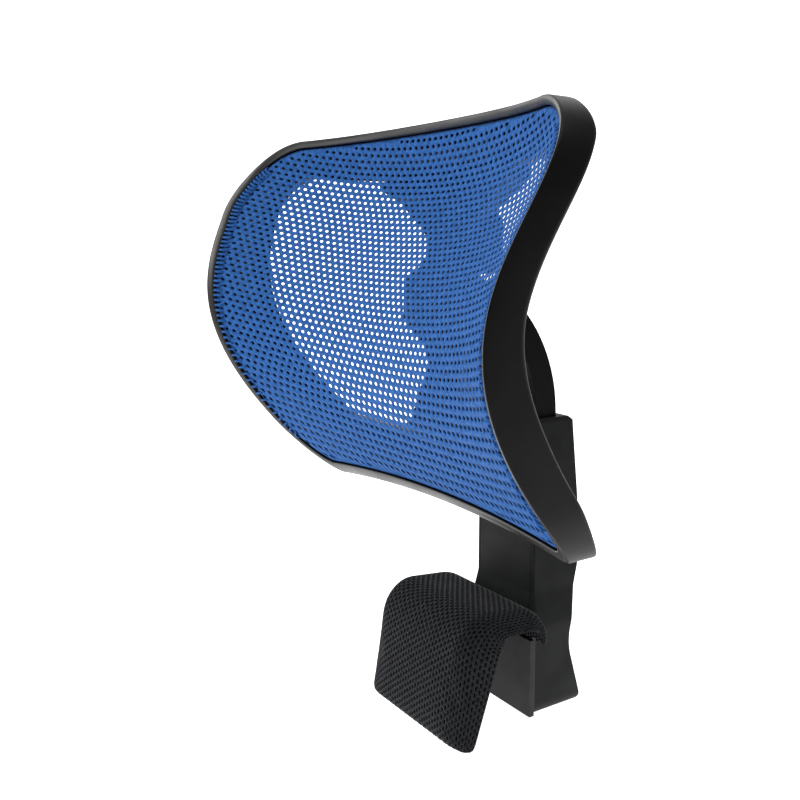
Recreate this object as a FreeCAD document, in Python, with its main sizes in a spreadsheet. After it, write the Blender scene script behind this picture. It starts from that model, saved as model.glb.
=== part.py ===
import FreeCAD, Part
import math
import os
import re
import Sketcher

# A mesh headrest for an office chair. It hangs by a padded hook on the top rail of the chair's back.
# Origin: middle of the hook's seat, where it rests on the rail. +Z up, -Y to the front, +X to the side.
# Lengths in millimetres.

V = FreeCAD.Vector
X_AXIS = V(1, 0, 0)
Y_AXIS = V(0, 1, 0)
Z_AXIS = V(0, 0, 1)

DIMENSIONS = [
    # The saddle-shaped headrest, in a frame of its own that leans back with the headrest.
    ("saddle_lean", -23.449, "lean of the headrest's frame about the side axis, degrees"),
    ("saddle_centre_y", -60.0, "centre of the saddle"),
    ("saddle_centre_z", 172.0, "centre of the saddle"),
    ("plan_radius", 234.8, "radius of the saddle's curve round the head"),
    ("profile_square", 0.0051169, "square term of the upright profile"),
    ("profile_cube", -0.000064933, "cube term of the upright profile"),
    ("profile_gain", 0.1016, "how much stronger the profile is at the ends"),
    ("half_wide_top", 150.0, "half width at the top edge"),
    ("half_wide_middle", 136.4, "half width at the middle"),
    ("half_wide_bottom", 114.5, "half width at the bottom edge"),
    ("rise_top", 96.6, "top edge above the centre"),
    ("rise_bottom", 85.2, "bottom edge below the centre"),
    ("droop_top", 20.3, "how far the ends of the top edge droop"),
    ("droop_bottom", 8.0, "how far the ends of the bottom edge droop"),
    ("corner_top", 48.0, "corner radius of the outline at the top"),
    ("corner_bottom", 21.0, "corner radius of the outline at the bottom"),
    ("rim_depth", 20.0, "depth of the outer wall, front to back"),
    ("rim_thinner_low", 6.5, "how much shallower the rim gets towards its bottom edge"),
    ("rim_thinner_high", 5.5, "how much shallower the rim gets towards its top edge"),
    ("rim_deeper_side", 5.5, "how much deeper the rim is low on its sides"),
    ("low_edge_start", -74.0, "height where the rim starts to get shallower downwards"),
    ("low_edge_blend", 19.0, "height over which it does so"),
    ("high_edge_start", 60.0, "height where the rim starts to get shallower upwards"),
    ("high_edge_blend", 27.0, "height over which it does so"),
    ("side_start", 70.0, "distance from the middle where the rim starts to get deeper sideways"),
    ("side_blend", 35.0, "distance over which it does so"),
    ("low_side_start", -12.0, "height where the sides start to get deeper downwards"),
    ("low_side_blend", 55.0, "height over which they do so"),
    ("rim_wall", 3.2, "thickness of the outer wall"),
    ("lip_width", 3.6, "width of the front lip"),
    ("groove_inner", 6.2, "distance from the outline to the groove's inner wall"),
    ("groove_depth", 6.0, "depth of the groove for the fabric's edge"),
    ("flange_front", 2.2, "flange front behind the lip's front"),
    ("flange_back", 8.2, "flange back behind the lip's front"),
    ("window_lip", 3.0, "thickness of the lip round the opening"),
    ("window_lip_back", 13.0, "back of the lip round the opening"),
    ("window_top", 70.5, "top edge of the opening above the centre"),
    ("window_top_droop", 5.5, "droop of the opening's top edge at its ends"),
    ("window_bottom", 61.0, "bottom edge of the opening below the centre"),
    ("window_wide_top", 124.0, "half width of the opening near its top"),
    ("window_wide_middle", 108.0, "half width of the opening at the centre"),
    ("window_wide_bottom", 52.0, "half width of the opening at its bottom"),
    ("window_corner_top", 24.0, "corner radius of the opening at the top"),
    ("window_corner_bottom", 12.0, "corner radius of the opening at the bottom"),
    ("panel_inset", 4.4, "fabric's edge from the outline"),
    ("panel_front", 0.8, "fabric front behind the lip's front"),
    ("panel_thick", 0.8, "thickness of the fabric"),
    ("strip_outer", 3.9, "edge strip from the outline, outer side"),
    ("strip_inner", 5.8, "edge strip from the outline, inner side"),
    ("strip_front", 3.6, "front of the edge strip behind the lip's front"),
    ("strip_back", 5.7, "back of the edge strip behind the lip's front"),
    ("fit_gap", 0.3, "gap between curved faces"),
    # The tilt pivot.
    ("pivot_y", -9.0, "tilt axis"),
    ("pivot_z", 170.0, "tilt axis"),
    ("eye_radius", 11.0, "mast's eye round the tilt axis"),
    ("ear_radius", 12.0, "round end of the ears"),
    ("ear_inner", 20.7, "inner face of an ear"),
    ("ear_outer", 33.0, "outer face of an ear"),
    ("bolt_radius", 4.0, "pivot bolt"),
    ("bolt_clearance", 0.05, "radial running clearance of the pivot bolt"),
    ("bush_radius", 6.0, "outside of the bushes"),
    ("bush_length", 12.0, "length of a bush"),
    ("washer_radius", 10.0, "friction washer"),
    ("washer_thick", 0.8, "friction washer"),
    ("head_flats", 11.0, "across the flats of the bolt head and nut"),
    ("head_thick", 3.4, "bolt head and nut"),
    ("cap_radius", 11.0, "pivot cap"),
    ("cap_height", 5.0, "pivot cap"),
    ("cap_wall", 1.2, "pivot cap"),
    # The spine behind the mesh.
    ("spine_half_top", 56.0, "half width at the top plate"),
    ("spine_half_neck", 12.5, "half width of the upper neck"),
    ("spine_half_low_neck", 9.0, "half width of the lower neck"),
    ("spine_half_boss", 32.7, "half width of the boss in front of the pivot"),
    ("spine_half_low", 15.0, "half width above the bottom plate"),
    ("web_back", 8.0, "back of the web behind the upper neck"),
    ("web_bottom", 186.8, "lower edge of that web at its back"),
    ("web_slope_low", 214.0, "where the web's back starts to slope forward"),
    ("web_slope_top", 236.0, "where that slope meets the bar"),
    ("spine_half_bottom", 27.0, "half width of the bottom plate"),
    ("spine_screw_radius", 2.0, "screws of the spine"),
    ("spine_screw_head", 3.8, "head radius"),
    ("spine_screw_grip", 4.6, "depth of the screws in the frame"),
    ("top_screw_x", 40.0, "upper spine screws"),
    ("top_screw_z", 243.0, "upper spine screws"),
    ("bottom_screw_x", 19.0, "lower spine screws"),
    ("bottom_screw_z", 85.0, "lower spine screws"),
    # The mast.
    ("mast_half", 19.6, "half width of the mast"),
    ("mast_front", 26.5, "front face of the straight part"),
    ("mast_back", 41.5, "back face of the straight part"),
    ("mast_bottom", 12.0, "lower end at the lowest position"),
    ("bend_z", 107.0, "height where the bend starts"),
    ("bend_centre_y", -42.0, "centre of the bend"),
    ("bend_angle", 63.4, "angle of the bend, degrees"),
    ("mast_wall", 3.0, "wall of the hollow mast"),
    ("slot_half", 2.3, "half width of the stop slot"),
    ("travel", 50.0, "height travel"),
    # The upright.
    ("box_half", 24.3, "half width of the upright"),
    ("foot_half", 28.3, "half width of the leg"),
    ("box_front", 22.5, "front face of the upright"),
    ("box_top", 104.0, "top of the upright under its collar"),
    ("box_back_top", 49.9, "back face at the top"),
    ("box_back_bulge", 57.8, "back face where it bulges most"),
    ("box_bulge_z", 30.0, "height of that bulge"),
    ("box_back_waist", 45.0, "back face at the waist above the foot"),
    ("waist_z", -20.0, "height of the waist"),
    ("foot_back", 56.5, "back of the foot"),
    ("foot_bottom", -58.0, "bottom of the foot"),
    ("knee_front", 21.2, "front face behind the sleeve's top"),
    ("leg_front", 19.3, "front face of the leg"),
    ("flare_top", 10.0, "where the flare to the leg starts"),
    ("flare_bottom", -8.0, "where the flare to the leg ends"),
    ("cavity_half", 21.3, "half width of the mast's channel"),
    ("cavity_back", 43.5, "back of the mast's channel"),
    ("cavity_bottom", 8.0, "floor of the mast's channel"),
    ("cover_half", 21.6, "half width of the front cover"),
    ("cover_thick", 3.0, "thickness of the front cover"),
    ("cover_bottom", -9.2, "lower end of the front cover"),
    ("seam", 0.3, "parting line round the front cover"),
    ("edge_bevel", 0.9, "bevel along the upright's front corners"),
    ("collar_height", 2.2, "mouth collar"),
    ("collar_bevel", 1.9, "bevel round the mouth collar"),
    ("slide_gap", 0.1, "gap between the mast and its guides"),
    ("liner_bottom", 63.0, "lower end of the side liners"),
    ("pad_half", 12.0, "half width of the glide and friction pads"),
    ("pad_bottom", 80.0, "lower end of the friction pad"),
    ("guide_top", 102.0, "upper end of liners and pads"),
    ("stop_screw_z", 74.0, "height of the stop screw"),
    ("stop_radius", 2.0, "stop screw"),
    ("stop_head_radius", 3.8, "stop screw's head"),
    ("stop_head_front", 47.0, "seat of the stop screw's head"),
    ("stop_head_thick", 2.6, "stop screw's head"),
    ("cover_screw_x", 15.0, "cover screws"),
    ("cover_screw_z", -5.0, "cover screws"),
    ("cover_screw_radius", 1.5, "cover screws"),
    ("cover_screw_head", 2.8, "cover screws"),
    ("cover_screw_length", 11.0, "cover screws"),
    # The hook. Its slot takes the chair's top rail.
    ("rail_gap", 26.0, "clear gap of the hook, front to back"),
    ("sleeve_half", 43.0, "half width of the sleeve"),
    ("sleeve_front_low", -44.0, "front of the flap at its lower edge"),
    ("sleeve_front_high", -36.0, "front of the flap at its top"),
    ("flap_inner_low", -33.0, "inner face of the flap at its lower edge; the flap leans forward"),
    ("sleeve_top", 12.0, "top of the sleeve at the front, above its seat"),
    ("sleeve_top_back", 7.0, "top of the sleeve at the back"),
    ("sleeve_back", 20.9, "back of the sleeve"),
    ("sleeve_back_low", -9.0, "lower edge of the sleeve behind the rail"),
    ("flap_bottom", -54.0, "lower edge of the flap"),
    ("sleeve_thick", 1.4, "thickness of the sleeve's fabric"),
    ("sleeve_round_front", 20.0, "outer radius at the front"),
    ("sleeve_round_back", 16.0, "outer radius at the back"),
    ("seat_round_front", 3.0, "inner radius at the front"),
    ("seat_round_back", 8.0, "inner radius at the back"),
    ("skin_gap", 0.1, "gap between sleeve, foam and strap"),
    ("strap_half", 30.0, "half width of the steel strap"),
    ("strap_thick", 3.0, "thickness of the steel strap"),
    ("strap_front", -19.6, "front of the strap's front leg at its top"),
    ("strap_front_inner", -17.4, "back of the front leg at its top"),
    ("strap_foot", -36.4, "front of the front leg at its lower end"),
    ("strap_foot_inner", -33.2, "back of the front leg at its lower end"),
    ("strap_top", 6.0, "top of the strap"),
    ("strap_back", 19.2, "back of the strap's rear leg"),
    ("strap_front_low", -47.0, "lower end of the front leg"),
    ("strap_back_low", -50.0, "lower end of the rear leg"),
    ("strap_round_front", 8.0, "outer bend at the front"),
    ("strap_round_back", 17.0, "outer bend at the back"),
    ("hook_screw_x", 13.0, "hook screws"),
    ("hook_screw_z", -31.0, "hook screws"),
    ("hook_screw_radius", 2.5, "hook screws"),
    ("hook_screw_head", 4.7, "hook screws"),
    ("hook_screw_head_thick", 2.4, "hook screws"),
    ("hook_screw_end", 34.0, "end of the hook screws"),
    ("insert_radius", 3.5, "threaded insert"),
    ("insert_length", 12.0, "threaded insert"),
    ("rear_pad_half", 33.0, "half width of the rear pad"),
    ("rear_pad_top", -11.0, "top of the rear pad"),
    ("rear_pad_bottom", -53.0, "bottom of the rear pad"),
    ("shaft_fit", 0.05, "radial gap round screws"),
]

doc = FreeCAD.newDocument("chair_headrest")
sheet = doc.addObject("Spreadsheet::Sheet", "Dims")
D = {}
for row, (alias, value, meaning) in enumerate(DIMENSIONS, start=1):
    sheet.set(f"A{row}", meaning)
    sheet.set(f"B{row}", str(value))
    sheet.setAlias(f"B{row}", alias)
    D[alias] = value
doc.recompute()


def linked(text):
    """A dimension formula with its names bound to the spreadsheet."""
    return re.sub(r"[a-z][a-z_]*", lambda word: "Dims." + word[0], str(text))


def bind(thing, **formulas):
    """Bind properties to the spreadsheet; the keys base_x, base_y and base_z move the thing."""
    for key, formula in formulas.items():
        path = key.replace("base_", "Placement.Base.")
        thing.setExpression(path, linked(formula))


def box(name, x_span, y_span, z_span):
    """A box from the low to the high value along each axis."""
    block = doc.addObject("Part::Box", name)
    spans = {"Length": x_span, "Width": y_span, "Height": z_span}
    for prop, (low, high) in spans.items():
        bind(block, **{prop: f"({high}) - ({low})"})
    bind(block, base_x=x_span[0], base_y=y_span[0], base_z=z_span[0])
    return block


def rod(name, axis, radius, span, centre):
    """A cylinder along an axis; centre gives its position on the two other axes, in X, Y, Z order."""
    cylinder = doc.addObject("Part::Cylinder", name)
    cylinder.Placement.Rotation = FreeCAD.Rotation(Z_AXIS, {"x": X_AXIS, "y": Y_AXIS, "z": Z_AXIS}[axis])
    bind(cylinder, Radius=radius, Height=f"({span[1]}) - ({span[0]})")
    position = list(centre)
    position.insert("xyz".index(axis), span[0])
    bind(cylinder, base_x=position[0], base_y=position[1], base_z=position[2])
    return cylinder


def fuse(name, shapes):
    union = doc.addObject("Part::MultiFuse", name)
    union.Shapes = shapes
    union.Refine = True
    return union


def common(name, shapes):
    overlap = doc.addObject("Part::MultiCommon", name)
    overlap.Shapes = shapes
    overlap.Refine = True
    return overlap


def cut(name, base, tools):
    difference = doc.addObject("Part::Cut", name)
    difference.Base = base
    difference.Tool = tools[0] if len(tools) == 1 else fuse(name + "_tools", tools)
    difference.Refine = True
    return difference


def static(name, shape):
    """A free-form shape, already in its place."""
    feature = doc.addObject("Part::Feature", name)
    feature.Shape = shape
    feature.Placement = FreeCAD.Placement()
    return feature


def value(formula):
    """The present value of a dimension formula, worked out by the spreadsheet."""
    cell = f"D{len(DIMENSIONS) + 1}"
    sheet.set(cell, "=" + re.sub(r"[a-z][a-z_]*", lambda word: word[0], str(formula)))
    doc.recompute([sheet])
    return float(sheet.get(cell))


def outline_body(name, plane, corners, width):
    """A PartDesign body: a straight-sided outline padded evenly to both sides of a plane.

    A corner is (across, up) or (across, up, rounding radius).
    """
    body = doc.addObject("PartDesign::Body", name)
    sketch = body.newObject("Sketcher::SketchObject", name + "_sketch")
    origin_plane = next(part for part in body.Origin.OriginFeatures if part.Role == plane)
    sketch.AttachmentSupport = [(origin_plane, "")]
    sketch.MapMode = "FlatFace"
    spots = [V(value(corner[0]), value(corner[1]), 0) for corner in corners]
    count = len(corners)
    for i, spot in enumerate(spots):
        sketch.addGeometry(Part.LineSegment(spot, spots[(i + 1) % count]), False)
    for i in range(count):
        sketch.addConstraint(Sketcher.Constraint("Coincident", i, 2, (i + 1) % count, 1))
    for i, corner in enumerate(corners):
        for kind, formula, at in (("DistanceX", corner[0], spots[i].x), ("DistanceY", corner[1], spots[i].y)):
            index = sketch.addConstraint(Sketcher.Constraint(kind, -1, 1, i, 1, at))
            sketch.setExpression(f"Constraints[{index}]", linked(formula))
    pad = body.newObject("PartDesign::Pad", name + "_pad")
    pad.Profile = sketch
    pad.SideType = "Symmetric"
    bind(pad, Length=width)
    doc.recompute()
    body.Tip = pad
    for spot, corner in reversed(list(zip(spots, corners))):
        if len(corner) == 3:
            round_corner(body, plane, spot, corner[2])
    return body


def round_corner(body, plane, spot, radius):
    """Round the padded edge that stands on one corner of the outline."""
    base = body.Tip
    for i, edge in enumerate(base.Shape.Edges, start=1):
        ends = [vertex.Point for vertex in edge.Vertexes]
        flat = [V(p.y, p.z, 0) if plane == "YZ_Plane" else V(p.x, p.z, 0) for p in ends]
        if len(flat) == 2 and all(p.distanceToPoint(spot) < 1e-4 for p in flat):
            fillet = body.newObject("PartDesign::Fillet", f"{body.Name}_round")
            fillet.Base = (base, [f"Edge{i}"])
            bind(fillet, Radius=radius)
            doc.recompute()
            body.Tip = fillet
            return
    raise RuntimeError(f"{body.Name} has no edge at {spot}")


def bevelled(name, base, size, chosen):
    """Chamfer the straight edges of a shape that a test on their end points chooses."""
    doc.recompute()
    chamfer = doc.addObject("Part::Chamfer", name)
    chamfer.Base = base
    edges = []
    for i, edge in enumerate(base.Shape.Edges, start=1):
        ends = [vertex.Point for vertex in edge.Vertexes]
        if len(ends) == 2 and chosen(*ends):
            edges.append((i, size, size))
    chamfer.Edges = edges
    return chamfer


def near(a, b):
    return abs(a - b) < 1e-4


# ---- The saddle: one curved sheet that every layer of the headrest is cut from ----

SADDLE_PLACE = FreeCAD.Placement(
    V(0, D["saddle_centre_y"], D["saddle_centre_z"]), FreeCAD.Rotation(X_AXIS, D["saddle_lean"])
)
SHEET_HALF_WIDE = 165
SHEET_LOW = -110
SHEET_HIGH = 115
SHEET_STEP = 15
PRISM_HALF_DEEP = 150


def saddle_point(x, z):
    """A point of the headrest's front surface, in the leaning frame."""
    radius = D["plan_radius"]
    along = radius * math.asin(x / radius)
    gain = 1 + D["profile_gain"] * (along / D["half_wide_middle"]) ** 2
    profile = D["profile_square"] * z**2 + D["profile_cube"] * z**3
    return V(x, math.sqrt(radius**2 - x**2) - radius + profile * gain, z)


def stepped(low, high):
    return [low + i * SHEET_STEP for i in range(round((high - low) / SHEET_STEP) + 1)]


def sheet_face(spot):
    """A smooth face through spots that a function gives for x and z over the whole sheet."""
    surface = Part.BSplineSurface()
    surface.interpolate([[spot(x, z) for z in stepped(SHEET_LOW, SHEET_HIGH)]
                         for x in stepped(-SHEET_HALF_WIDE, SHEET_HALF_WIDE)])
    return surface.toShape()


def eased(share):
    """A smooth step from 0 to 1."""
    share = min(max(share, 0), 1)
    return share**2 * (3 - 2 * share)


def rim_back_point(x, z):
    """A point of the rim's back, in its place: deepest low on the sides, shallower at the top and bottom edges."""
    sideways = eased((abs(x) - D["side_start"]) / D["side_blend"])
    low_side = sideways * eased((D["low_side_start"] - z) / D["low_side_blend"])
    low_edge = eased((D["low_edge_start"] - z) / D["low_edge_blend"])
    high_edge = eased((z - D["high_edge_start"]) / D["high_edge_blend"])
    depth = (D["rim_depth"] + D["rim_deeper_side"] * low_side - D["rim_thinner_low"] * low_edge
             - D["rim_thinner_high"] * high_edge)
    return SADDLE_PLACE.multVec(saddle_point(x, z)) + V(0, depth, 0)


saddle_face = sheet_face(saddle_point)
rim_back_face = sheet_face(rim_back_point)


def rounded_outline(top, bottom, top_mid, bottom_mid, middle, corner_top, corner_bottom):
    """A closed outline in the leaning XZ plane: four gentle arcs with rounded corners.

    top and bottom are the right-hand corners as (x, z) before rounding, the rest middles of the arcs and radii.
    """
    def spot(x, z):
        return V(x, -PRISM_HALF_DEEP, z)

    sides = [
        Part.Arc(spot(-top[0], top[1]), spot(0, top_mid), spot(*top)),
        Part.Arc(spot(*top), spot(*middle), spot(*bottom)),
        Part.Arc(spot(*bottom), spot(0, bottom_mid), spot(-bottom[0], bottom[1])),
        Part.Arc(spot(-bottom[0], bottom[1]), spot(-middle[0], middle[1]), spot(-top[0], top[1])),
    ]
    prism = Part.Face(Part.Wire([side.toShape() for side in sides])).extrude(V(0, 2 * PRISM_HALF_DEEP, 0))
    corners = {True: corner_top, False: corner_bottom}
    for upper, radius in corners.items():
        edges = [edge for edge in prism.Edges if near(edge.Vertexes[0].X, edge.Vertexes[-1].X)
                 and near(edge.Vertexes[0].Z, edge.Vertexes[-1].Z) and len(edge.Vertexes) == 2
                 and (edge.Vertexes[0].Z > 0) == upper and abs(edge.Vertexes[0].X) > min(top[0], bottom[0]) - 1]
        prism = prism.makeFillet(radius, edges)
    end = min(prism.Faces, key=lambda face: face.CenterOfMass.y)
    return end.OuterWire


rim_outline = rounded_outline(
    top=(D["half_wide_top"], D["rise_top"] - D["droop_top"]),
    bottom=(D["half_wide_bottom"], -D["rise_bottom"] - D["droop_bottom"]),
    top_mid=D["rise_top"],
    bottom_mid=-D["rise_bottom"],
    middle=(D["half_wide_middle"], 0),
    corner_top=D["corner_top"],
    corner_bottom=D["corner_bottom"],
)
window_outline = rounded_outline(
    top=(D["window_wide_top"], D["window_top"] - D["window_top_droop"]),
    bottom=(D["window_wide_bottom"], -D["window_bottom"]),
    top_mid=D["window_top"],
    bottom_mid=-D["window_bottom"] + 1,
    middle=(D["window_wide_middle"], 0),
    corner_top=D["window_corner_top"],
    corner_bottom=D["window_corner_bottom"],
)


def skin(outline, inset):
    """The part of the saddle sheet inside an outline that is drawn in by an inset, standing in its place."""
    wire = outline.makeOffset2D(-inset) if inset else outline
    prism = Part.Face(wire).extrude(V(0, 2 * PRISM_HALF_DEEP, 0))
    face = saddle_face.common(prism).Faces[0]
    return face.transformGeometry(SADDLE_PLACE.toMatrix())


def layer(face, front, back):
    """A layer of the headrest between two depths behind its front surface."""
    moved = face.copy()
    moved.translate(V(0, front, 0))
    return moved.extrude(V(0, back - front, 0))


# ---- Headrest ----

rim_skin = skin(rim_outline, 0)
inside_lip = skin(rim_outline, D["lip_width"])
inside_wall = skin(rim_outline, D["rim_wall"])
inside_groove = skin(rim_outline, D["groove_inner"])
opening = skin(window_outline, 0)
round_opening = skin(window_outline, -D["window_lip"])
clear_of_lip = skin(window_outline, -D["window_lip"] - D["fit_gap"])
BEYOND = 5
RIM_BLANK_BACK = D["rim_depth"] + 2 * BEYOND
TOOL_BACK = RIM_BLANK_BACK + BEYOND

rim = layer(rim_skin, 0, RIM_BLANK_BACK)
groove = layer(inside_lip, -BEYOND, D["groove_depth"]).cut(
    layer(inside_groove, -2 * BEYOND, D["groove_depth"] + BEYOND)
)
hollow_back = layer(inside_wall, D["flange_back"], D["window_lip_back"] + 1).cut(
    layer(round_opening, D["flange_back"] - BEYOND, D["window_lip_back"] + BEYOND)
)
for tool in (
    layer(inside_groove, -BEYOND, D["flange_front"]),
    groove,
    layer(inside_wall, D["window_lip_back"], TOOL_BACK),
    hollow_back,
    layer(opening, -BEYOND, TOOL_BACK),
    layer(rim_back_face, 0, 4 * BEYOND),
):
    rim = rim.cut(tool)

spine_screw_spots = [(side * D[end + "_screw_x"], D[end + "_screw_z"])
                     for end in ("top", "bottom") for side in (-1, 1)]


def flange_back_y(x, z):
    """Where the flange's back face lies, front to back, at a place across and up."""
    line = Part.makeLine(V(x, -200, z), V(x, 200, z))
    touching = layer(rim_skin, D["flange_back"], D["rim_depth"]).common(line)
    return touching.BoundBox.YMin


spine_screw_seats = [(x, flange_back_y(x, z), z) for x, z in spine_screw_spots]
for x, y, z in spine_screw_seats:
    rim = rim.cut(Part.makeCylinder(D["spine_screw_radius"] + D["shaft_fit"], D["spine_screw_grip"] + BEYOND,
                                    V(x, y - D["spine_screw_grip"] - D["fit_gap"], z), Y_AXIS))
static("headrest_rim", rim)
static("mesh_panel", layer(skin(rim_outline, D["panel_inset"]), D["panel_front"],
                           D["panel_front"] + D["panel_thick"]))
static("edge_strip", layer(skin(rim_outline, D["strip_outer"]), D["strip_front"], D["strip_back"]).cut(
    layer(skin(rim_outline, D["strip_inner"]), D["strip_front"] - BEYOND, D["strip_back"] + BEYOND)))

spine_side = outline_body("spine_side", "YZ_Plane", [
    (-32, 254), (-32, 236), (-23, 224), (-26, 192), (-26, 160), (-23, 148), (-33, 108), (-46, 94), (-46, 74),
    (-19, 74, 3), (-24, 97, 8), (-17, 150), (-17, 192), (-12, 228), (-12, 254, 3),
], "2 * spine_half_top")
spine_half = [
    ("spine_half_top", 252, 8), ("spine_half_top", 234, 4), ("spine_half_neck", 206, 12),
    ("spine_half_neck", 192, 6), ("spine_half_boss", 180, 7), ("spine_half_boss", 157, 7),
    ("spine_half_low_neck", 140, 9), ("spine_half_low", 99, 10), ("spine_half_bottom", 94, 4),
    ("spine_half_bottom", 76, 6),
]
spine_front = outline_body(
    "spine_front", "XZ_Plane",
    spine_half + [("-" + across, up, radius) for across, up, radius in reversed(spine_half)], 200,
)
ears = []
for side, span in (("left", ("-ear_outer", "-ear_inner")), ("right", ("ear_inner", "ear_outer"))):
    ears.append(rod(side + "_ear_end", "x", "ear_radius", span, ("pivot_y", "pivot_z")))
    ears.append(box(side + "_ear_root", span, ("-25.9", "pivot_y"),
                    ("pivot_z - ear_radius", "pivot_z + ear_radius")))
spine_web = outline_body("spine_web", "YZ_Plane", [
    (-21, 184), ("web_back", "web_bottom", 3), ("web_back", "web_slope_low", 6), (-14, "web_slope_top"),
    (-21, "web_slope_top"),
], "2 * spine_half_neck - 1")
spine_plain = fuse("spine_plain", [common("spine_bar", [spine_side, spine_front]), spine_web] + ears)
eye_room = rod("eye_room", "x", "eye_radius + 1", ("-ear_inner", "ear_inner"), ("pivot_y", "pivot_z"))
bolt_hole = rod("bolt_hole", "x", "bolt_radius + shaft_fit", ("-ear_outer - 1", "ear_outer + 1"),
                ("pivot_y", "pivot_z"))
saddle_room = static("saddle_room", layer(rim_skin, -3 * BEYOND, D["flange_back"] + D["fit_gap"]))
lip_room = static("lip_room", layer(clear_of_lip, 0, D["window_lip_back"] + D["fit_gap"]).cut(
    layer(skin(window_outline, D["fit_gap"]), -BEYOND, D["window_lip_back"] + BEYOND)))
spine_holes = [static(f"spine_hole_{i}", Part.makeCylinder(
    D["spine_screw_radius"] + D["shaft_fit"], 60, V(x, y - BEYOND, z), Y_AXIS))
    for i, (x, y, z) in enumerate(spine_screw_seats)]
spine_seats = [static(f"spine_seat_{i}", Part.makeCylinder(
    D["spine_screw_head"] + 0.3, 60, V(x, y + BEYOND + 0.5, z), Y_AXIS))
    for i, (x, y, z) in enumerate(spine_screw_seats)]
cut("back_spine", spine_plain, [eye_room, bolt_hole, saddle_room, lip_room] + spine_holes + spine_seats)

SCREW_HEAD_THICK = 2.2
static("spine_screws", Part.makeCompound([
    Part.makeCylinder(D["spine_screw_radius"], D["spine_screw_grip"] + BEYOND + 0.5,
                      V(x, y - D["spine_screw_grip"], z), Y_AXIS).fuse(
        Part.makeCylinder(D["spine_screw_head"], SCREW_HEAD_THICK, V(x, y + BEYOND + 0.5, z), Y_AXIS)
    ).removeSplitter()
    for x, y, z in spine_screw_seats
]))


def hexagon_prism(flats, thick, x):
    """A hexagon round the tilt axis, from x towards +X."""
    reach = flats / math.sqrt(3)
    ring = [V(x, D["pivot_y"] + reach * math.sin(math.radians(60 * i)),
              D["pivot_z"] + reach * math.cos(math.radians(60 * i))) for i in range(7)]
    return Part.Face(Part.makePolygon(ring)).extrude(V(thick, 0, 0))


head_seat = D["ear_outer"]
bolt_head = static("bolt_head", hexagon_prism(D["head_flats"], D["head_thick"], head_seat))
fuse("pivot_bolt", [
    rod("bolt_shank", "x", "bolt_radius", ("-ear_outer - head_thick", "ear_outer"), ("pivot_y", "pivot_z")),
    bolt_head,
])
nut_blank = static("nut_blank", hexagon_prism(D["head_flats"], D["head_thick"], -head_seat - D["head_thick"]))
cut("pivot_nut", nut_blank, [
    rod("nut_bore", "x", "bolt_radius + shaft_fit", ("-ear_outer - head_thick - 1", "-ear_outer + 1"),
        ("pivot_y", "pivot_z")),
])


def mirrored_pair(name, build):
    """One node with a piece on each side; build gets the sign text of a side."""
    return fuse(name, [build("-", "left"), build("", "right")])


def span_on(sign, inner, outer):
    """A span along X on one side, from its lower to its higher end."""
    return (f"-({outer})", f"-({inner})") if sign else (inner, outer)


def washer(sign, side):
    span = span_on(sign, "mast_half + slide_gap", "mast_half + slide_gap + washer_thick")
    wide = span_on(sign, "mast_half - 1", "ear_inner + 1")
    return cut(side + "_washer", rod(side + "_washer_disc", "x", "washer_radius", span, ("pivot_y", "pivot_z")), [
        rod(side + "_washer_hole", "x", "bolt_radius + shaft_fit", wide, ("pivot_y", "pivot_z"))])


def cap(sign, side):
    span = span_on(sign, "ear_outer", "ear_outer + cap_height")
    room = span_on(sign, "ear_outer - 1", "ear_outer + cap_height - cap_wall")
    return cut(side + "_cap", rod(side + "_cap_disc", "x", "cap_radius", span, ("pivot_y", "pivot_z")), [
        rod(side + "_cap_room", "x", "cap_radius - cap_wall", room, ("pivot_y", "pivot_z"))])


mirrored_pair("friction_washers", washer)
mirrored_pair("pivot_caps", cap)

# ---- Mast ----

mast_straight = box("mast_straight", ("-mast_half", "mast_half"), ("mast_front", "mast_back"),
                    ("mast_bottom", "bend_z"))


def bend_sector(name, radius, half):
    """A sector of a cylinder round the bend's centre, from straight back upwards to the bend's end."""
    sector = rod(name, "x", radius, ("-" + half, half), ("bend_centre_y", "bend_z"))
    sector.Placement.Rotation = FreeCAD.Rotation(Y_AXIS, Z_AXIS, X_AXIS, "XYZ")
    bind(sector, Angle="bend_angle")
    return sector


mast_bend = cut("mast_bend", bend_sector("bend_outside", "mast_back - bend_centre_y", "mast_half"),
                [rod("bend_inside", "x", "mast_front - bend_centre_y", ("-mast_half - 1", "mast_half + 1"),
                     ("bend_centre_y", "bend_z"))])
mast_eye = rod("mast_eye", "x", "eye_radius", ("-mast_half", "mast_half"), ("pivot_y", "pivot_z"))
mast_hollow = box("mast_hollow", ("-mast_half + mast_wall", "mast_half - mast_wall"),
                  ("mast_front + mast_wall", "mast_back - mast_wall"), ("mast_bottom - 1", "bend_z - 4"))
stop_slot = box("stop_slot", ("-slot_half", "slot_half"), ("mast_back - mast_wall - 1", "mast_back + 1"),
                ("stop_screw_z - travel - slot_half", "stop_screw_z + slot_half"))
eye_bore = rod("eye_bore", "x", "bolt_radius + 1", ("-mast_half - 1", "mast_half + 1"), ("pivot_y", "pivot_z"))
bush_bores = [rod(side + "_bush_bore", "x", "bush_radius", span_on(sign, "mast_half - bush_length", "mast_half + 1"),
                  ("pivot_y", "pivot_z")) for sign, side in (("-", "left"), ("", "right"))]
cut("mast", fuse("mast_plain", [mast_straight, mast_bend, mast_eye]),
    [mast_hollow, stop_slot, eye_bore] + bush_bores)


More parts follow.
